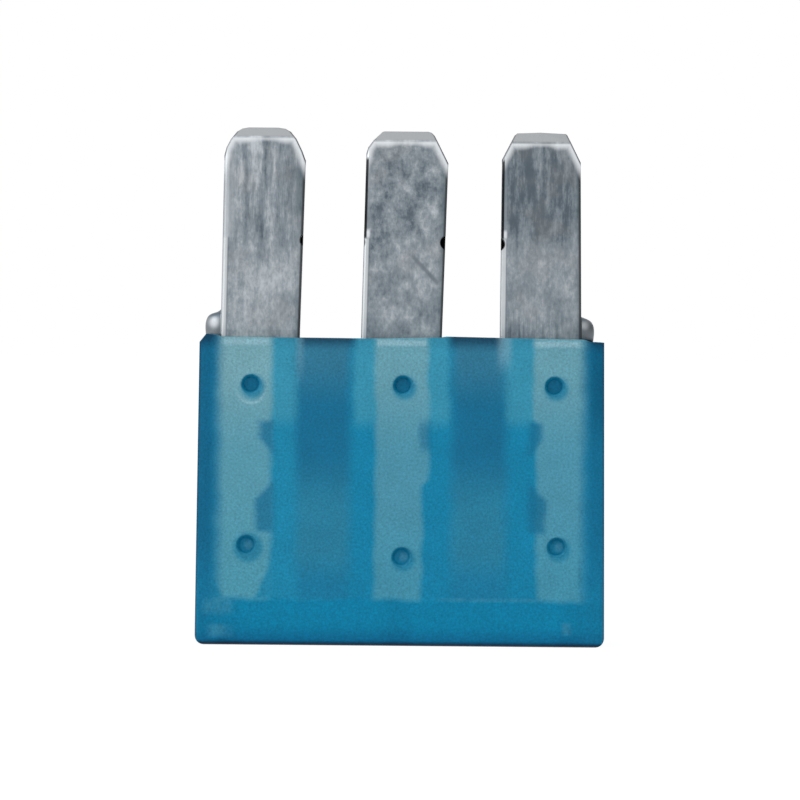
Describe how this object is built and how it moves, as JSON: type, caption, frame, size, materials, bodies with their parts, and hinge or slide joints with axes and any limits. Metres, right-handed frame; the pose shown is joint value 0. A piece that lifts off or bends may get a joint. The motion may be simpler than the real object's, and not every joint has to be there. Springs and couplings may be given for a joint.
{
  "type": "three-blade automotive micro blade fuse",
  "caption": "Flat translucent blue fuse housing with silvery stamped blades standing up from its mouth and fusible links between the bars inside.",
  "frame": {"origin": "middle of the flat end face of the housing's head, on which the fuse stands", "axes": "+Z along the blades from the head to their tips, +X across the row of blades, -Y out of the front face, +Y through the thickness"},
  "size_m": [0.0144, 0.0042, 0.0181],
  "materials": {
    "blue_polyamide": "satin",
    "bright_zinc": "satin"
  },
  "bodies": {
    "root": {"housing": "blue_polyamide", "fuse_element": "bright_zinc"}
  },
  "joints": []
}
